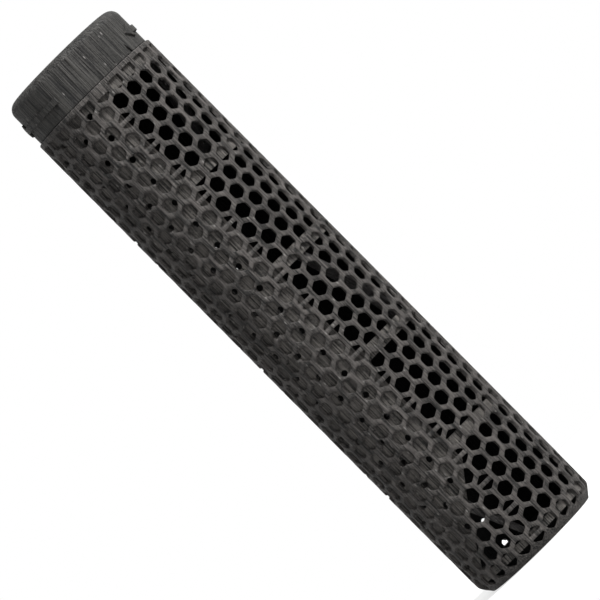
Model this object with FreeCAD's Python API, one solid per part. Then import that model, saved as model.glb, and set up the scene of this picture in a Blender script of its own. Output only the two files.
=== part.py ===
"""Perforated barrel for a small rotary rock tumbler, standing upright on its closed end.

Millimetres. The origin is the centre of the closed end's flat face and +Z runs up the
barrel's axis to the screw cap. Angles are in degrees from +X, anticlockwise from above.
"""

import FreeCAD, Part
import math
import os

Vec = FreeCAD.Vector
CENTRE = Vec(0, 0, 0)
UP = Vec(0, 0, 1)

# Mesh sleeve
sleeve_radius = 30.0
sleeve_length = 249.8
sleeve_wall = 1.5
chamfer_length = 4.4
chamfer_depth = 3.7
floor_land = 2.2
collar_width = 2.1
cells_around = 24
cell_rise = 14.13
first_cell_height = 5.78
strut_width = 2.0
seam_angle = 273.0
window_columns = 12
tie_bar_width = 1.8

# Drain liner, the wall inside the sleeve that leaves one open window
liner_wall = 1.0
liner_edge = 273.3
liner_span = 270.0
scarf_inset = 28.3
scarf_height = 28.9
scarf_slope = 1.341
drain_radius = 1.375
drain_rise = 11.7
drain_step = 18.0
drain_rows = 9
drain_edge_inset = 18.8
drain_top_inset = 6.9
drain_land = 1.0

# Ring frames and the lifter vanes between them
ring_count = 6
ring_width = 5.4
ring_depth = 4.1
first_ring_height = 2.8
top_ring_width = 6.5
vane_thickness = 2.4
vane_reach = 2.0
vane_twist = -41.0
vane_first_angle = 249.0
vane_stagger = -144.0
vane_steps = 8

# Closed end
end_screw_shank = 1.25
end_screw_head = 2.35
end_screw_length = 5.6
end_pad_thickness = 3.0
screw_count = 4
screw_land = 0.35

# Threaded neck
neck_foot_thickness = 1.8
neck_height = 11.9
neck_wall = 2.4
neck_screw_shank = 0.8
neck_screw_head = 1.5
neck_screw_length = 4.6
neck_screw_land = 0.25
recess_wall = 1.3

# Quick thread: short lugs on three starts
thread_starts = 3
thread_lead = 15.0
thread_height = 1.0
thread_base = 1.9
thread_crest = 1.1
lug_span = 60.0
lug_steps = 8
lug_sink = 0.2
neck_lug_height = 7.9

# Cap and the pressure plate inside it
cap_step = 1.15
cap_length = 18.95
cap_corner = 4.3
cap_top = 3.0
plate_thickness = 2.0
plate_side_gap = 0.4
gasket_thickness = 1.5
gasket_inset = 0.3
boss_radius = 5.0
plate_screw_shank = 1.5
plate_screw_head = 3.0
plate_screw_head_height = 2.0
plate_screw_depth = 2.0
washer_radius = 3.8
washer_thickness = 0.5
notch_angle = 319.0
notch_width = 2.4
notch_length = 4.6
notch_depth = 0.8
arrow_angles = (217.0, 7.0)
arrow_height = 6.9
arrow_proud = 0.9
arrow_bar = 2.6
arrow_bar_span = 56.0
arrow_head_length = 5.0
arrow_head_width = 6.4

# Clearances
fit_gap = 0.1
screw_gap = 0.05
thread_gap = 0.3
thread_play = 0.2
cap_seam = 0.3
bore_cone = 0.5

# Sizes that follow
sleeve_inner = sleeve_radius - sleeve_wall
floor_radius = sleeve_radius - chamfer_depth
chamfer_lean = math.atan2(chamfer_depth, chamfer_length)
inner_shoulder = chamfer_length + sleeve_wall * math.tan(chamfer_lean / 2.0)
inner_floor_radius = floor_radius - sleeve_wall * math.tan(math.pi / 4.0 - chamfer_lean / 2.0)
floor_opening = floor_radius - floor_land
liner_outer = sleeve_inner - fit_gap
liner_inner = liner_outer - liner_wall
ring_outer = sleeve_inner - fit_gap
ring_bore = ring_outer - ring_depth
ring_pitch = (sleeve_length - first_ring_height - top_ring_width) / (ring_count - 1)
end_foot_radius = inner_floor_radius - fit_gap
end_disc_radius = floor_opening - fit_gap
end_screw_circle = end_disc_radius - screw_land - end_screw_head
end_ring_bore = end_screw_circle - screw_land - end_screw_head
neck_foot_radius = liner_inner - fit_gap - recess_wall - fit_gap
neck_screw_circle = neck_foot_radius - neck_screw_land - neck_screw_head
neck_radius = neck_screw_circle - neck_screw_land - neck_screw_head
mouth_radius = neck_radius - neck_wall
neck_foot_bottom = sleeve_length - neck_foot_thickness
neck_top = sleeve_length + neck_height
cap_radius = sleeve_radius - cap_step
cap_bottom = sleeve_length + cap_seam
cap_end = cap_bottom + cap_length
cap_ceiling = cap_end - cap_top
cap_bore = neck_radius + thread_height + thread_gap
plate_bottom = neck_top + gasket_thickness
plate_end = plate_bottom + plate_thickness


def polar(radius, angle, z=0.0):
    turn = math.radians(angle)
    return Vec(radius * math.cos(turn), radius * math.sin(turn), z)


def cylinder(radius, bottom, top):
    return Part.makeCylinder(radius, top - bottom, Vec(0, 0, bottom))


def tube(outer, inner, bottom, top):
    return cylinder(outer, bottom, top).cut(cylinder(inner, bottom, top))


def tube_sector(outer, inner, bottom, top, start, stop):
    size = top - bottom
    base = Vec(0, 0, bottom)
    sector = Part.makeCylinder(outer, size, base, UP, stop - start)
    sector = sector.cut(cylinder(inner, bottom, top))
    sector.rotate(CENTRE, UP, start)
    return sector


def tapered_cylinder(radius, foot_radius, bottom, shoulder, top):
    """A cylinder that narrows below its shoulder, down to the foot radius."""
    cone = Part.makeCone(foot_radius, radius, shoulder - bottom, Vec(0, 0, bottom))
    return cone.fuse(cylinder(radius, shoulder, top)).removeSplitter()


def rounded_cylinder(radius, bottom, top, corner):
    """A cylinder with its top edge made round."""
    body = cylinder(radius, bottom, top)
    edges = [e for e in body.Edges if e.BoundBox.ZLength < 1e-6 and abs(e.BoundBox.ZMin - top) < 1e-6]
    return body.makeFillet(corner, edges)


def prism(corners, direction):
    """The solid that a closed polygon sweeps along a straight direction."""
    return Part.Face(Part.makePolygon(corners + corners[:1])).extrude(direction)


def radial_prism(outline, angle, inner, outer):
    """A straight prism along the radius at an angle; its outline is in (sideways, z)."""
    out = polar(1.0, angle)
    side = polar(1.0, angle + 90.0)
    corners = [out * inner + side * across + UP * z for across, z in outline]
    return prism(corners, out * (outer - inner))


def clipped(outline, low, high):
    """The part of a convex (sideways, z) outline between two heights."""
    for limit, keep in ((low, 1.0), (high, -1.0)):
        kept = []
        for (x0, z0), (x1, z1) in zip(outline, outline[1:] + outline[:1]):
            first = keep * (z0 - limit)
            second = keep * (z1 - limit)
            if first >= 0.0:
                kept.append((x0, z0))
            if first * second < 0.0:
                share = first / (first - second)
                kept.append((x0 + share * (x1 - x0), limit))
        outline = kept
    return outline


def cell_outline(height):
    """A hexagonal opening with points along the barrel, one strut smaller than its cell."""
    side = math.pi * sleeve_radius / cells_around
    peak = cell_rise / 3.0
    shoulder = cell_rise / 6.0
    slope = (peak - shoulder) / side
    open_side = side - strut_width / 2.0
    open_peak = peak - strut_width / 2.0 * math.hypot(1.0, slope)
    open_shoulder = open_peak - slope * open_side
    points = [
        (0.0, open_peak),
        (open_side, open_shoulder),
        (open_side, -open_shoulder),
        (0.0, -open_peak),
        (-open_side, -open_shoulder),
        (-open_side, open_shoulder),
    ]
    return [(across, z + height) for across, z in points]


def cell_cutters():
    """Prisms for every opening; the two seam rows keep a tie bar across each cell."""
    collar_bottom = sleeve_length - collar_width
    cutters = []
    for column in range(2 * cells_around):
        angle = seam_angle + column * 180.0 / cells_around
        height = first_cell_height + (column % 2) * cell_rise / 2.0
        while height - cell_rise / 3.0 + strut_width < collar_bottom:
            outline = cell_outline(height)
            spans = [(0.0, collar_bottom)]
            if column in (0, window_columns):
                lower = min(height - tie_bar_width / 2.0, collar_bottom)
                spans = [(0.0, lower), (height + tie_bar_width / 2.0, collar_bottom)]
            for low, high in spans:
                if high - low > strut_width:
                    piece = clipped(outline, low, high)
                    cutters.append(radial_prism(piece, angle, floor_radius, sleeve_radius + sleeve_wall))
            height += cell_rise
    return cutters


def liner_floor_at(inset):
    """Height where the liner starts, an angle in from its front edge, with the slanted scarf."""
    if inset > scarf_inset + 90.0:
        return inner_shoulder
    toward_edge = math.radians(scarf_inset - inset)
    return max(inner_shoulder, scarf_height + scarf_slope * liner_outer * math.sin(toward_edge))


def drain_cutters():
    """Round holes on staggered rows, kept clear of the liner's lower edge."""
    cutters = []
    for row in range(drain_rows):
        inset = drain_edge_inset + row * drain_step
        floor = liner_floor_at(inset) + drain_radius + drain_land
        height = sleeve_length - drain_top_inset - (row % 2) * drain_rise / 2.0
        while height > floor:
            start = polar(liner_inner - sleeve_wall, liner_edge - inset, height)
            way = polar(1.0, liner_edge - inset)
            cutters.append(Part.makeCylinder(drain_radius, 3.0 * sleeve_wall + liner_wall, start, way))
            height -= drain_rise
    return cutters


def make_sleeve():
    outside = tapered_cylinder(sleeve_radius, floor_radius, 0.0, chamfer_length, sleeve_length)
    inside = tapered_cylinder(sleeve_inner, inner_floor_radius, sleeve_wall, inner_shoulder, sleeve_length)
    blank = outside.cut(inside).cut(cylinder(floor_opening, 0.0, sleeve_wall))
    return blank.cut(cell_cutters() + drain_cutters())


def liner_shell(outer, inner, bottom, top, gap):
    """The open tube with its slanted lower edge, grown by a gap to make its pocket."""
    margin = math.degrees(gap / inner)
    shell = tube_sector(outer, inner, bottom, top, liner_edge - liner_span - margin, liner_edge + margin)
    drop = scarf_height - gap * math.hypot(1.0, scarf_slope)
    rise = scarf_slope * sleeve_radius
    scarf = [(-sleeve_radius, drop - rise), (sleeve_radius, drop + rise), (sleeve_radius, drop - rise)]
    return shell.cut(radial_prism(scarf, liner_edge - scarf_inset, 0.0, 2.0 * sleeve_radius))


def make_liner():
    return liner_shell(liner_outer, liner_inner, inner_shoulder, sleeve_length, 0.0).cut(drain_cutters())


def ring_bottom(index):
    return first_ring_height + index * ring_pitch


def make_ring(index):
    """A plain frame; the end ring stands on a narrower foot and the top ring seats the neck."""
    bottom = ring_bottom(index)
    top = bottom + ring_width
    bore = ring_bore
    if index == 0:
        bottom = inner_shoulder
        bore = end_ring_bore
    if index == ring_count - 1:
        top = sleeve_length
        bore = mouth_radius
    ring = tube(ring_outer, bore, bottom, top)
    ring = ring.cut(liner_shell(sleeve_radius, liner_inner - fit_gap, inner_shoulder - fit_gap, top, fit_gap))
    if index == 0:
        ring = ring.fuse(tube(end_foot_radius, bore, sleeve_wall, bottom + fit_gap)).removeSplitter()
        ring = ring.cut(end_screw_group(screw_gap))
    if index == ring_count - 1:
        recess = cylinder(neck_foot_radius + fit_gap, neck_foot_bottom, top)
        ring = ring.cut(recess).cut(neck_screw_group(screw_gap))
    return ring


def screw_blank(shank, head, length, gap):
    """A countersunk screw along +Z from its flush head; a gap grows it into its hole."""
    cone = Part.makeCone(head + gap, shank + gap, head - shank)
    return cone.fuse(Part.makeCylinder(shank + gap, length + gap))


def hex_socket(across_corners, depth):
    corners = [polar(across_corners / 2.0, 60.0 * side) for side in range(6)]
    return prism(corners, UP * depth)


def screw_group(shank, head, length, circle, height, upward, gap):
    """Four countersunk screws on a circle, or their holes where a gap is given."""
    group = []
    for index in range(screw_count):
        screw = screw_blank(shank, head, length, gap)
        if gap == 0.0:
            screw = screw.cut(hex_socket(shank * 1.6, head - shank))
        if not upward:
            screw.rotate(CENTRE, Vec(1, 0, 0), 180.0)
        angle = (index + 0.5) * 360.0 / screw_count
        screw.translate(polar(circle, angle, height))
        group.append(screw)
    return group


def end_screw_group(gap):
    sizes = (end_screw_shank, end_screw_head, end_screw_length, end_screw_circle)
    return screw_group(*sizes, 0.0, True, gap)


def neck_screw_group(gap):
    sizes = (neck_screw_shank, neck_screw_head, neck_screw_length, neck_screw_circle)
    return screw_group(*sizes, sleeve_length, False, gap)


def make_vane(index):
    """A twisted rib that stands on one ring frame and ends under the next."""
    bottom = ring_bottom(index) + ring_width
    top = ring_bottom(index + 1)
    middle = vane_first_angle + index * vane_stagger
    sections = []
    for step in range(vane_steps + 1):
        share = step / vane_steps
        angle = middle + vane_twist * (share - 0.5)
        height = UP * (bottom + (top - bottom) * share)
        side = polar(vane_thickness / 2.0, angle + 90.0)
        inner = polar(ring_bore - vane_reach, angle) + height
        outer = polar(liner_inner - 2.0 * fit_gap, angle) + height
        sections.append(Part.makePolygon([inner - side, outer - side, outer + side, inner + side, inner - side]))
    return Part.makeLoft(sections, True, True)


def make_end_disc():
    return cylinder(end_disc_radius, 0.0, sleeve_wall).cut(end_screw_group(screw_gap))


def make_end_pad():
    return cylinder(end_ring_bore - 2.0 * fit_gap, sleeve_wall, sleeve_wall + end_pad_thickness)


def thread_lugs(base_radius, crest_radius, middle_height):
    """One short helical lug on each start, right-handed, with a flat crest."""
    lugs = []
    for start in range(thread_starts):
        sections = []
        for step in range(lug_steps + 1):
            turn = lug_span * (step / lug_steps - 0.5)
            angle = start * 360.0 / thread_starts + turn
            z = middle_height + thread_lead * turn / 360.0
            corners = [
                polar(base_radius, angle, z - thread_base / 2.0),
                polar(crest_radius, angle, z - thread_crest / 2.0),
                polar(crest_radius, angle, z + thread_crest / 2.0),
                polar(base_radius, angle, z + thread_base / 2.0),
            ]
            sections.append(Part.makePolygon(corners + corners[:1]))
        lugs.append(Part.makeLoft(sections, True, True))
    return lugs


def neck_lug_middle():
    return sleeve_length + neck_lug_height


def cap_lug_middle():
    """The cap's lugs hang under the neck's by one flank-to-flank spacing and the play."""
    taper = (thread_base - thread_crest) / (thread_height + lug_sink)
    overlap = thread_height - thread_gap
    flank_spacing = thread_crest + taper * overlap / 2.0
    return neck_lug_middle() - flank_spacing - thread_play


def make_neck():
    neck = cylinder(neck_foot_radius, neck_foot_bottom, sleeve_length)
    neck = neck.fuse(cylinder(neck_radius, neck_foot_bottom, neck_top))
    neck = neck.cut(cylinder(mouth_radius, neck_foot_bottom, neck_top))
    lugs = thread_lugs(neck_radius - lug_sink, neck_radius + thread_height, neck_lug_middle())
    return neck.fuse(lugs).cut(neck_screw_group(screw_gap))


def make_plate():
    plate = cylinder(cap_bore - plate_side_gap, plate_bottom, plate_end)
    return plate.cut(cylinder(plate_screw_shank + screw_gap, plate_bottom, plate_end))


def make_gasket():
    return tube(neck_radius - fit_gap, mouth_radius + gasket_inset, neck_top, plate_bottom)


def lock_arrow(angle):
    """A raised arrow that follows the cap round, pointing the way that closes it."""
    middle = cap_bottom + arrow_height
    face = cap_radius + arrow_proud
    root = cap_radius - arrow_proud
    tip = angle - arrow_bar_span / 2.0
    low = middle - arrow_bar / 2.0
    bar = tube_sector(face, root, low, low + arrow_bar, tip, tip + arrow_bar_span)
    outline = [
        (-arrow_head_length, middle),
        (0.0, middle - arrow_head_width / 2.0),
        (0.0, middle + arrow_head_width / 2.0),
    ]
    head = radial_prism(outline, tip, 0.0, sleeve_radius)
    band = tube(face, root, middle - arrow_head_width, middle + arrow_head_width)
    return bar.fuse(head.common(band))


def make_cap():
    cap = rounded_cylinder(cap_radius, cap_bottom, cap_end, cap_corner)
    cap = cap.cut(cylinder(cap_bore, cap_bottom, cap_ceiling))
    cap = cap.cut(Part.makeCone(cap_bore + bore_cone, cap_bore, bore_cone, Vec(0, 0, cap_bottom)))
    cap = cap.fuse(cylinder(boss_radius, plate_end + fit_gap, cap_ceiling))
    cap = cap.cut(cylinder(plate_screw_shank + screw_gap, plate_end + fit_gap, cap_ceiling + plate_screw_depth))
    cap = cap.fuse(thread_lugs(cap_bore + lug_sink, neck_radius + thread_gap, cap_lug_middle()))
    notch = [
        (-notch_width / 2.0, cap_bottom),
        (notch_width / 2.0, cap_bottom),
        (0.0, cap_bottom + notch_length),
    ]
    cap = cap.cut(radial_prism(notch, notch_angle, cap_radius - notch_depth, sleeve_radius))
    return cap.fuse([lock_arrow(angle) for angle in arrow_angles])


def make_plate_screw():
    washer_bottom = plate_bottom - fit_gap - washer_thickness
    head_bottom = washer_bottom - plate_screw_head_height
    head = cylinder(plate_screw_head, head_bottom, washer_bottom)
    shank = cylinder(plate_screw_shank, washer_bottom, cap_ceiling + plate_screw_depth - screw_gap)
    socket = hex_socket(plate_screw_head, plate_screw_head_height / 2.0)
    socket.translate(UP * head_bottom)
    return head.fuse(shank).cut(socket)


def make_washer():
    top = plate_bottom - fit_gap
    return tube(washer_radius, plate_screw_shank + screw_gap, top - washer_thickness, top)


nodes = {
    "mesh_sleeve": make_sleeve(),
    "drain_liner": make_liner(),
    "end_disc": make_end_disc(),
    "end_pad": make_end_pad(),
    "end_screws": Part.makeCompound(end_screw_group(0.0)),
    "neck_ring": make_neck(),
    "neck_screws": Part.makeCompound(neck_screw_group(0.0)),
    "pressure_plate": make_plate(),
    "rim_gasket": make_gasket(),
    "screw_cap": make_cap(),
    "plate_screw": make_plate_screw(),
    "plate_washer": make_washer(),
}
for index in range(ring_count):
    nodes[f"ring_frame_{index + 1}"] = make_ring(index)
for index in range(ring_count - 1):
    nodes[f"lifter_vane_{index + 1}"] = make_vane(index)

os.makedirs("parts", exist_ok=True)
for name, shape in nodes.items():
    shape.exportStep(f"parts/{name}.step")
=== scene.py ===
import math

import bmesh
import bpy
from mathutils import Matrix, Vector


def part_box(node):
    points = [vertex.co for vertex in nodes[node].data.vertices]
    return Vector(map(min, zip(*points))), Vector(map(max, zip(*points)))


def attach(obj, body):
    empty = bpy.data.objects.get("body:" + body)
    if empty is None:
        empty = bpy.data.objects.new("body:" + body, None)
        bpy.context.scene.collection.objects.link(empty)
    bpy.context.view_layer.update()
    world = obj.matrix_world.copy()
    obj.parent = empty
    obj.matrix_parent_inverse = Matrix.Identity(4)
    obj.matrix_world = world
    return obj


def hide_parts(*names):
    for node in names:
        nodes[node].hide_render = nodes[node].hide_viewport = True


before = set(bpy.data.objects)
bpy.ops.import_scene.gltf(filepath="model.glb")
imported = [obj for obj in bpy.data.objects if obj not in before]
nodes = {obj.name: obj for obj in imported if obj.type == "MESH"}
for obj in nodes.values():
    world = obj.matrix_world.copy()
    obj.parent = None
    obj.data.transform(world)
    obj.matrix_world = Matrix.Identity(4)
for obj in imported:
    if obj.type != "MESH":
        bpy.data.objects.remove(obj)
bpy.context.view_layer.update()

# ---------------------------------------------------------------------------
# Mesh sleeve: one printed nylon tube whose whole wall is a honeycomb, with a
# plain collar under the cap and a bevelled closed end. It was printed lying on
# its side in one piece, and its cells are blind where the liner backs them.
# ---------------------------------------------------------------------------
MM = 0.001
sleeve_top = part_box("mesh_sleeve")[1].z
sleeve_radius = 30.0 * MM
sleeve_wall = 1.5 * MM
bevel_length = 4.4 * MM
bevel_depth = 3.7 * MM
bevel_softness = 0.15
end_hole_radius = 24.1 * MM
inner_shoulder = 4.95 * MM
inner_floor_radius = 25.6 * MM
collar_bottom = sleeve_top - 2.1 * MM
collar_lip = 0.5 * MM
collar_ease = 0.4 * MM
bevel_steps = 5
cells_around = 24
cell_rise = 14.13 * MM
first_cell = 5.78 * MM
strut_width = 2.0 * MM
strut_round = 0.34 * MM
seam_turn = 273.0
window_columns = 12
tie_bar_width = 1.8 * MM
corner_pull = 0.19 * MM
side_points = (0.2, 0.5, 0.8)
sharp_edge = 40

cell_side = math.pi * sleeve_radius / cells_around
cell_peak = cell_rise / 3
cell_shoulder = cell_rise / 6
cell_slope = (cell_peak - cell_shoulder) / cell_side
open_side = cell_side - strut_width / 2
open_peak = cell_peak - strut_width / 2 * math.hypot(1.0, cell_slope)
open_shoulder = open_peak - cell_slope * open_side
collar_start = collar_bottom + collar_lip

# The liner behind the sleeve: it leaves one quarter open as a window, and its
# lower edge is cut on the slant.
liner_edge = 273.3
liner_span = 270.0
liner_radius = 28.4 * MM
scarf_inset = 28.3
scarf_height = 28.9 * MM
scarf_slope = 1.341
recess_taper = 0.42 * MM
recess_drop = 0.34 * MM


def liner_floor(inset):
    """Where the liner starts, an angle in from its front edge."""
    if inset > scarf_inset + 90:
        return inner_shoulder
    toward_edge = math.radians(scarf_inset - inset)
    return max(inner_shoulder, scarf_height + scarf_slope * liner_radius * math.sin(toward_edge))


def backed(turn, height):
    """Whether the liner covers the whole of a cell."""
    inset = (liner_edge - turn) % 360
    half = 180.0 / cells_around
    return half < inset < liner_span - half and height - open_peak > liner_floor(inset - half)


def on_sleeve(turn, height, depth):
    """A point of the sleeve: its turn in degrees, its height, and how deep it is in the wall."""
    above = 1 - height / bevel_length
    outside = sleeve_radius - bevel_depth * (above + math.hypot(above, bevel_softness)) / 2
    inside = sleeve_radius - sleeve_wall
    if depth == sleeve_wall:
        height = max(height, sleeve_wall + 0.3 * height)
    if height < inner_shoulder:
        rise = (height - sleeve_wall) / (inner_shoulder - sleeve_wall)
        inside = inner_floor_radius + (inside - inner_floor_radius) * max(0.0, rise)
    reach = outside + (inside - outside) * depth / sleeve_wall
    angle = math.radians(turn)
    return Vector((reach * math.cos(angle), reach * math.sin(angle), height))


def side_shares(start, stop):
    """The points along the stretch of a cell's side from start to stop, as shares of it."""
    inside = [s for s in side_points if start < s < stop]
    return [(s - start) / (stop - start) for s in [start] + inside]


class Shell:
    """Collects faces whose points are shared where they meet."""

    def __init__(self):
        self.points = []
        self.places = {}
        self.faces = []

    def point(self, place):
        key = tuple(round(c * 1e6) for c in place)
        if key not in self.places:
            self.places[key] = len(self.points)
            self.points.append(tuple(place))
        return self.places[key]

    def band(self, first, second):
        """A closed band of quads between two loops of points of the same length."""
        for index in range(len(first)):
            following = (index + 1) % len(first)
            corners = [first[index], first[following], second[following], second[index]]
            distinct = list(dict.fromkeys(corners))
            if len(distinct) > 2:
                self.faces.append(distinct)

    def object(self, name, sharp_degrees):
        mesh = bpy.data.meshes.new(name)
        mesh.from_pydata(self.points, [], self.faces)
        work = bmesh.new()
        work.from_mesh(mesh)
        bmesh.ops.recalc_face_normals(work, faces=work.faces)
        work.to_mesh(mesh)
        work.free()
        mesh.shade_smooth()
        mesh.set_sharp_from_angle(angle=math.radians(sharp_degrees))
        piece = bpy.data.objects.new(name, mesh)
        bpy.context.scene.collection.objects.link(piece)
        return piece


def cell(shell, turn, height, edge, hole, spans):
    """One cell of the honeycomb: outer face, rounded lip, wall of the opening and inner face."""
    middle = sum((Vector(c) for c in hole), Vector((0, 0))) / len(hole)
    edge_loop = []
    hole_loop = []
    for index, span in enumerate(spans):
        following = (index + 1) % len(spans)
        for share in side_shares(*span):
            edge_loop.append(Vector(edge[index]).lerp(Vector(edge[following]), share))
            point = Vector(hole[index]).lerp(Vector(hole[following]), share)
            if share == 0.0:
                point += (middle - point).normalized() * corner_pull
            hole_loop.append(point)

    def edge_ring(depth):
        places = [(turn + math.degrees(p.x / sleeve_radius), height + p.y) for p in edge_loop]
        return [shell.point(on_sleeve(t, h, depth)) for t, h in places]

    def hole_ring(spread, depth, drop=0.0):
        ring = []
        for p in hole_loop:
            p = p + (p - middle).normalized() * spread
            across = math.degrees(math.asin(p.x / (sleeve_radius - depth)))
            ring.append(shell.point(on_sleeve(turn + across, height + p.y - drop, depth)))
        return ring

    taper, drop = (recess_taper, recess_drop) if backed(turn, height) else (0.0, 0.0)
    rings = [
        edge_ring(0.0),
        hole_ring(strut_round, 0.0),
        hole_ring(strut_round * 0.3, strut_round * 0.3),
        hole_ring(0.0, strut_round),
        hole_ring(-taper, sleeve_wall, drop),
        edge_ring(sleeve_wall),
    ]
    for first, second in zip(rings, rings[1:]):
        shell.band(first, second)


def hexagon(wide, high, low):
    return [(0, high), (wide, low), (wide, -low), (0, -high), (-wide, -low), (-wide, low)]


def half_hexagon(wide, high, low, cut, up):
    """The half of a hexagon beyond a straight cut, upward for up = 1 and downward for up = -1."""
    right = up * wide
    return [(right, cut), (right, up * low), (0, up * high), (-right, up * low), (-right, cut)]


def sleeve_cells(shell):
    full = hexagon(cell_side, cell_peak, cell_shoulder)
    opening = hexagon(open_side, open_peak, open_shoulder)
    half_spans = [(0.5, 1), (0, 1), (0, 1), (0, 0.5), (0, 1)]
    for column in range(2 * cells_around):
        turn = seam_turn + column * 180.0 / cells_around
        height = first_cell + (column % 2) * cell_rise / 2
        on_seam = column in (0, window_columns)
        while height + cell_peak < sleeve_top:
            if on_seam:
                for up in (1, -1):
                    edge = half_hexagon(cell_side, cell_peak, cell_shoulder, 0, up)
                    hole = half_hexagon(open_side, open_peak, open_shoulder, up * tie_bar_width / 2, up)
                    cell(shell, turn, height, edge, hole, half_spans)
            else:
                cell(shell, turn, height, full, opening, [(0, 1)] * 6)
            height += cell_rise
        if column % 2 == 0:
            top_cell(shell, turn, height, on_seam)


def top_cell(shell, turn, height, on_seam):
    """The cell that the collar cuts off."""
    top = collar_start - height
    hole_top = -tie_bar_width / 2 if on_seam else collar_bottom - height
    reached = (top + cell_shoulder) / (2 * cell_shoulder)
    edge = half_hexagon(cell_side, cell_peak, cell_shoulder, top, -1)
    hole = half_hexagon(open_side, open_peak, open_shoulder, hole_top, -1)
    cell(shell, turn, height, edge, hole, [(1 - reached, 1), (0, 1), (0, 1), (0, reached), (0, 1)])


def rim(shell, loop, path):
    """Closes the wall round an end: each point of the loop has a path from its outside to its inside."""
    columns = [path(turn, height) for turn, height in loop]
    for step in range(len(columns[0]) - 1):
        first = [shell.point(column[step]) for column in columns]
        second = [shell.point(column[step + 1]) for column in columns]
        shell.band(first, second)


def end_path(turn, height):
    """Down the bevel, in to the opening in the closed end, and back inside the wall."""
    outside = [on_sleeve(turn, height * (1 - s / bevel_steps), 0.0) for s in range(bevel_steps + 1)]
    angle = math.radians(turn)
    way = Vector((math.cos(angle), math.sin(angle), 0))
    up = Vector((0, 0, sleeve_wall))
    opening = [way * end_hole_radius, way * end_hole_radius + up, way * inner_floor_radius + up]
    return outside + opening + [on_sleeve(turn, height, sleeve_wall)]


def collar_path(turn, height):
    """Up the collar, over its eased edge, and down inside the wall."""
    below_edge = sleeve_top - collar_ease
    outside = [(height, 0.0), (below_edge, 0.0), (sleeve_top, collar_ease)]
    inside = [(sleeve_top, sleeve_wall), (height, sleeve_wall)]
    return [on_sleeve(turn, h, depth) for h, depth in outside + inside]


def sleeve_rims(shell):
    end_loop = []
    collar_loop = []
    for column in range(0, 2 * cells_around, 2):
        turn = seam_turn + column * 180.0 / cells_around
        low = [(-cell_side, -cell_shoulder), (0, -cell_peak), (cell_side, -cell_shoulder)]
        for start, stop in zip(low, low[1:]):
            for share in side_shares(0, 1):
                point = Vector(start).lerp(Vector(stop), share)
                end_loop.append((turn + math.degrees(point.x / sleeve_radius), first_cell + point.y))
        for share in side_shares(0, 1):
            across = cell_side * (2 * share - 1)
            collar_loop.append((turn + math.degrees(across / sleeve_radius), collar_start))
    rim(shell, end_loop, end_path)
    rim(shell, collar_loop, collar_path)


sleeve_shell = Shell()
sleeve_cells(sleeve_shell)
sleeve_rims(sleeve_shell)
sleeve = sleeve_shell.object("mesh_sleeve_print", sharp_edge)

# Drain holes, 2.75 mm across, are drilled straight in through sleeve and liner
# on staggered rows, and stop short of the liner's slanted lower edge.
drain_radius = 1.375 * MM
drain_rise = 11.7 * MM
drain_rows = 9
drain_step = 18.0
drain_edge_inset = 18.8
drain_top_inset = 6.9 * MM
drain_land = 1.0 * MM
drain_sides = 20
drill_inner = sleeve_radius - 3.5 * MM
drill_outer = sleeve_radius + MM


def drain_places():
    for row in range(drain_rows):
        inset = drain_edge_inset + row * drain_step
        floor = liner_floor(inset) + drain_radius + drain_land
        height = sleeve_top - drain_top_inset - (row % 2) * drain_rise / 2
        while height > floor:
            yield liner_edge - inset, height
            height -= drain_rise


def drill(piece, places, radius, inner, outer):
    """Cuts round radial holes through a piece."""
    cutter = Shell()
    for turn, height in places:
        angle = math.radians(turn)
        out = Vector((math.cos(angle), math.sin(angle), 0))
        across = Vector((-math.sin(angle), math.cos(angle), 0))
        rings = []
        for reach in (inner, outer):
            centre = out * reach + Vector((0, 0, height))
            ring = []
            for step in range(drain_sides):
                spin = 2 * math.pi * step / drain_sides
                place = centre + across * radius * math.cos(spin) + Vector((0, 0, radius * math.sin(spin)))
                ring.append(cutter.point(place))
            rings.append(ring)
        cutter.band(*rings)
        cutter.faces += rings
    tool = cutter.object("drill", sharp_edge)
    cut = piece.modifiers.new("drain_holes", "BOOLEAN")
    cut.object = tool
    cut.operation = "DIFFERENCE"
    cut.solver = "MANIFOLD"
    bpy.context.view_layer.update()
    drilled = bpy.data.meshes.new_from_object(piece.evaluated_get(bpy.context.evaluated_depsgraph_get()))
    piece.modifiers.clear()
    piece.data = drilled
    bpy.data.objects.remove(tool)


drill(sleeve, drain_places(), drain_radius, drill_inner, drill_outer)


# Printed nylon: carbon-filled PA12, charcoal and matt with a faint sheen. The layers lie flat
# while the barrel is printed on its side, so their edges run along it as fine steps, widest at
# the front. Nozzle passes leave lines the same way, with small pits; a few pale flecks are painted glints.
layer_height = 0.18 * MM
print_way = (0.044, -0.999, 0.0)


def linear(hex_colour):
    """An sRGB hex colour as linear RGBA."""
    channels = [int(hex_colour[i:i + 2], 16) / 255 for i in (1, 3, 5)]
    return tuple(c / 12.92 if c <= 0.04045 else ((c + 0.055) / 1.055) ** 2.4 for c in channels) + (1.0,)


def add(tree, kind, inputs=(), **settings):
    """Adds a node; inputs maps a socket's name or number to a value or to a (node, output) pair."""
    made = tree.nodes.new("ShaderNode" + kind)
    for name, value in settings.items():
        setattr(made, name, value)
    for socket, value in dict(inputs).items():
        if isinstance(value, tuple) and isinstance(value[0], bpy.types.Node):
            tree.links.new(value[0].outputs[value[1]], made.inputs[socket])
        else:
            made.inputs[socket].default_value = value
    return made


def new_material(name):
    material = bpy.data.materials.new(name)
    material.use_nodes = True
    material.node_tree.nodes.clear()
    return material, material.node_tree


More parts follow.
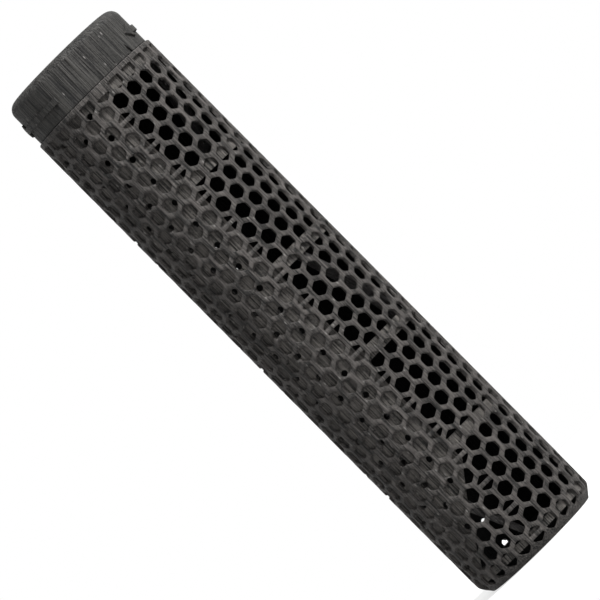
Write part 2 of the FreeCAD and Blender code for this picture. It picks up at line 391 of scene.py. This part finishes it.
def printed_nylon(name, dark, light, ripple, painted_shade_radius=None):
    """Printed nylon; ripple is how deep its broad ridges are. Given a radius as the last argument, the
    colour is painted near black inside that radius as shade for the inside of the barrel.
    """
    material, tree = new_material(name)
    place = add(tree, "TexCoord")
    wander = add(tree, "TexNoise", {"Vector": (place, "Object"), "Scale": 90.0, "Detail": 2.0})
    along = add(tree, "VectorMath", {0: (place, "Object"), 1: print_way}, operation="DOT_PRODUCT")
    drift = add(
        tree, "Math", {0: (wander, 0), 1: 0.35 * layer_height, 2: (along, 1)}, operation="MULTIPLY_ADD"
    )
    layers = add(tree, "Math", {0: (drift, 0), 1: layer_height}, operation="DIVIDE")
    step = add(tree, "Math", {0: (layers, 0)}, operation="FRACT")
    fall = add(tree, "Math", {0: 1.0, 1: (step, 0)}, operation="SUBTRACT")

    # Nozzle lines, about 0.5 mm apart and 20 mm long.
    stretch = add(tree, "Mapping", {0: (place, "Object"), "Scale": (1.0, 1.0, 0.03)})
    lines = add(tree, "TexNoise", {"Vector": (stretch, 0), "Scale": 1900.0, "Detail": 2.0, "Roughness": 0.6})
    broad = add(tree, "TexNoise", {"Vector": (stretch, 0), "Scale": 330.0, "Detail": 2.0})
    pits = add(
        tree, "TexNoise", {"Vector": (place, "Object"), "Scale": 1600.0, "Detail": 2.0, "Roughness": 0.7}
    )
    streaks = add(tree, "Math", {0: (broad, 0), 1: 0.35, 2: (lines, 0)}, operation="MULTIPLY_ADD")
    tone = add(tree, "Math", {0: (pits, 0), 1: 0.4, 2: (streaks, 0)}, operation="MULTIPLY_ADD")
    shade = add(tree, "MapRange", {"Value": (tone, 0), "From Min": 0.73, "From Max": 1.02})
    colour = add(tree, "Mix", {0: (shade, 0), 6: linear(dark), 7: linear(light)}, data_type="RGBA")

    # Painted glints: pale flecks about a millimetre apart, stretched along the barrel, painted into the
    # colour as highlights where threads of melt were left.
    drawn = add(tree, "Mapping", {0: (place, "Object"), "Scale": (1.0, 1.0, 0.3)})
    cells = add(tree, "TexVoronoi", {"Vector": (drawn, 0), "Scale": 700.0})
    near = add(
        tree, "MapRange",
        {"Value": (cells, 0), "From Min": 0.08, "From Max": 0.22, "To Min": 1.0, "To Max": 0.0},
    )
    chosen = add(tree, "SeparateColor", {0: (cells, 1)})
    some = add(tree, "Math", {0: (chosen, 0), 1: 0.72}, operation="GREATER_THAN")
    painted_glint = add(tree, "Math", {0: (near, 0), 1: (some, 0)}, operation="MULTIPLY")
    glint_painted = add(
        tree, "Mix", {0: (painted_glint, 0), 6: (colour, 2), 7: linear("#5d5b59")}, data_type="RGBA"
    )
    base = (glint_painted, 2)
    gloss = 0.16
    # Painted shade: inside the given radius the colour is mixed to near black and the sheen lowered, for the
    # shade inside the barrel.
    if painted_shade_radius:
        across = add(tree, "VectorMath", {0: (place, "Object"), 1: (1.0, 1.0, 0.0)}, operation="MULTIPLY")
        reach = add(tree, "VectorMath", {0: (across, 0)}, operation="LENGTH")
        outside_painted_shade = add(tree, "MapRange", {"Value": (reach, 1), "From Min": painted_shade_radius, "From Max": painted_shade_radius + 0.6 * MM})
        painted_shade_mix = add(tree, "Mix", {0: (outside_painted_shade, 0), 6: linear("#0a0a0a"), 7: base}, data_type="RGBA")
        base = (painted_shade_mix, 2)
        shine = add(tree, "Math", {0: (outside_painted_shade, 0), 1: 0.14, 2: 0.02}, operation="MULTIPLY_ADD")
        gloss = (shine, 0)

    rough = add(tree, "MapRange", {"Value": (pits, 0), "To Min": 0.42, "To Max": 0.72})
    steps = add(tree, "Bump", {"Height": (fall, 0), "Strength": 0.8, "Distance": layer_height})
    swell = add(
        tree, "Bump", {"Height": (broad, 0), "Normal": (steps, 0), "Strength": 0.7, "Distance": ripple}
    )
    ridges = add(
        tree, "Bump", {"Height": (lines, 0), "Normal": (swell, 0), "Strength": 0.9, "Distance": 0.6 * MM}
    )
    bump = add(
        tree, "Bump", {"Height": (pits, 0), "Normal": (ridges, 0), "Strength": 0.5, "Distance": 0.12 * MM}
    )
    surface = add(
        tree, "BsdfPrincipled",
        {
            "Base Color": base, "Roughness": (rough, 0), "Normal": (bump, 0),
            "IOR": 1.5, "Specular IOR Level": gloss,
        },
    )
    add(tree, "OutputMaterial", {"Surface": (surface, 0)})
    return material


def finish_with(piece, material):
    piece.data.materials.clear()
    piece.data.materials.append(material)


finish_with(sleeve, printed_nylon("printed_nylon_sleeve", "#090908", "#403d3b", 0.4 * MM))
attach(sleeve, "barrel")
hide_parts("mesh_sleeve")

# ---------------------------------------------------------------------------
# Liner and ring frames: printed in the same nylon and bonded inside the sleeve.
# Their outer faces show in the cells; their inner faces are painted near black as the shade inside the
# barrel.
# ---------------------------------------------------------------------------
lined = printed_nylon("printed_nylon_painted_shade", "#080807", "#4b4845", 0.7 * MM, 27.45 * MM)
for name in ["drain_liner"] + [f"ring_frame_{index}" for index in range(1, 7)]:
    finish_with(nodes[name], lined)

# ---------------------------------------------------------------------------
# Lifter vanes: twisted ribs that stand between the frames and carry the stones
# up as the barrel turns. They are printed separately and their edges stay bare.
# ---------------------------------------------------------------------------
plain = printed_nylon("printed_nylon_plain", "#131212", "#333130", 0.3 * MM)
for index in range(1, 6):
    finish_with(nodes[f"lifter_vane_{index}"], plain)

# ---------------------------------------------------------------------------
# Closed end and neck: a printed disc and a printed threaded ring, each held by
# four countersunk stainless screws. A black rubber pad lies on the disc.
# ---------------------------------------------------------------------------
for name in ("end_disc", "neck_ring", "pressure_plate"):
    finish_with(nodes[name], plain)


def rubber(name):
    """Moulded nitrile rubber: near black, matt, with a fine grain and dusty marks."""
    material, tree = new_material(name)
    place = add(tree, "TexCoord")
    grain = add(tree, "TexNoise", {"Vector": (place, "Object"), "Scale": 2500.0, "Detail": 2.0})
    marks = add(tree, "TexNoise", {"Vector": (place, "Object"), "Scale": 120.0, "Detail": 4.0})
    dusty = add(tree, "MapRange", {"Value": (marks, 0), "From Min": 0.35, "From Max": 0.75})
    colour = add(tree, "Mix", {0: (dusty, 0), 6: linear("#101010"), 7: linear("#232221")}, data_type="RGBA")
    bump = add(tree, "Bump", {"Height": (grain, 0), "Strength": 0.4, "Distance": 0.05 * MM})
    surface = add(
        tree, "BsdfPrincipled",
        {"Base Color": (colour, 2), "Roughness": 0.75, "Normal": (bump, 0), "IOR": 1.52},
    )
    add(tree, "OutputMaterial", {"Surface": (surface, 0)})
    return material


def stainless(name):
    """Stainless steel: cold-headed screws, with fine turning lines and small scuffs."""
    material, tree = new_material(name)
    place = add(tree, "TexCoord")
    stretch = add(tree, "Mapping", {0: (place, "Object"), "Scale": (1.0, 1.0, 8.0)})
    turned = add(tree, "TexNoise", {"Vector": (stretch, 0), "Scale": 900.0, "Detail": 3.0})
    scuffs = add(tree, "TexNoise", {"Vector": (place, "Object"), "Scale": 700.0, "Detail": 3.0})
    scuffed = add(tree, "MapRange", {"Value": (scuffs, 0), "From Min": 0.3, "From Max": 0.7})
    colour = add(
        tree, "Mix", {0: (scuffed, 0), 6: linear("#a7a8aa"), 7: linear("#c9c9ca")}, data_type="RGBA"
    )
    rough = add(tree, "MapRange", {"Value": (scuffs, 0), "To Min": 0.22, "To Max": 0.45})
    bump = add(tree, "Bump", {"Height": (turned, 0), "Strength": 0.3, "Distance": 0.02 * MM})
    surface = add(
        tree, "BsdfPrincipled",
        {"Base Color": (colour, 2), "Metallic": 1.0, "Roughness": (rough, 0), "Normal": (bump, 0)},
    )
    add(tree, "OutputMaterial", {"Surface": (surface, 0)})
    return material


black_rubber = rubber("nitrile_rubber")
steel = stainless("stainless_steel")
for name in ("end_pad", "rim_gasket"):
    finish_with(nodes[name], black_rubber)
for name in ("end_screws", "neck_screws", "plate_screw", "plate_washer"):
    finish_with(nodes[name], steel)

# ---------------------------------------------------------------------------
# Screw cap: printed in the same nylon with its axis lying down, so the layer
# steps run along its side. Two raised arrows show which way it closes.
# ---------------------------------------------------------------------------
finish_with(nodes["screw_cap"], printed_nylon("printed_nylon_cap", "#0a0a0a", "#2f2e2c", 1.5 * MM))

# ---------------------------------------------------------------------------
# Studio: a pale floor, white surroundings, one soft light in front of the barrel
# and above its right side, and a weaker one low on the left behind it.
# ---------------------------------------------------------------------------
world = bpy.data.worlds.new("white_studio")
world.use_nodes = True
world.node_tree.nodes["Background"].inputs["Color"].default_value = (1, 1, 1, 1)
world.node_tree.nodes["Background"].inputs["Strength"].default_value = 1.0
bpy.context.scene.world = world
bpy.context.scene.view_settings.view_transform = "Standard"

floor_mesh = bpy.data.meshes.new("floor")
work = bmesh.new()
bmesh.ops.create_circle(work, cap_ends=True, segments=96, radius=0.4)
work.to_mesh(floor_mesh)
work.free()
floor = bpy.data.objects.new("floor", floor_mesh)
bpy.context.scene.collection.objects.link(floor)
floor.location.z = -0.0002
paper, tree = new_material("floor_paper")
fibres = add(tree, "TexNoise", {"Scale": 60.0, "Detail": 2.0})
shade = add(tree, "MapRange", {"Value": (fibres, 0), "To Min": 0.9, "To Max": 0.96})
glow = add(tree, "Emission", {"Color": (shade, 0), "Strength": 1.0})
matt = add(tree, "BsdfDiffuse", {"Color": (shade, 0)})
mixed = add(tree, "MixShader", {0: 0.3, 1: (glow, 0), 2: (matt, 0)})
add(tree, "OutputMaterial", {"Surface": (mixed, 0)})
floor_mesh.materials.append(paper)

middle = Vector((0, 0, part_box("screw_cap")[1].z / 2))
roll = math.radians(44.767)
across_view = Vector((math.cos(roll), 0, -math.sin(roll)))
up_view = Vector((math.sin(roll), 0, math.cos(roll)))
to_camera = Vector((0, -1, 0))


def soft_light(name, way, size, power):
    lamp = bpy.data.lights.new(name, "AREA")
    lamp.shape = "SQUARE"
    lamp.size = size
    lamp.energy = power
    light = bpy.data.objects.new(name, lamp)
    light.location = middle + way
    light.rotation_euler = (-way).to_track_quat("-Z", "Y").to_euler()
    bpy.context.scene.collection.objects.link(light)


soft_light("key", up_view * 1.3 + to_camera * 0.6 - across_view * 0.1, 0.45, 72.0)
soft_light("rim", up_view * -1.2 + across_view * -0.3 - to_camera * 0.25, 0.5, 14.0)

# The camera stands square to the barrel's side and is rolled so that the cap points up and left.
distance = 2.3
view_width = 0.23604
camera_data = bpy.data.cameras.new("camera")
camera_data.sensor_width = 36.0
camera_data.lens = 36.0 * distance / view_width
camera_data.clip_end = 20.0
camera = bpy.data.objects.new("camera", camera_data)
bpy.context.scene.collection.objects.link(camera)
lean = Matrix.Rotation(math.radians(-0.2), 3, "X")
aim = middle - across_view * 0.000083 + up_view * 0.000417
camera.matrix_world = (lean @ Matrix((across_view, up_view, to_camera)).transposed()).to_4x4()
camera.location = aim + lean @ to_camera * distance
bpy.context.scene.camera = camera
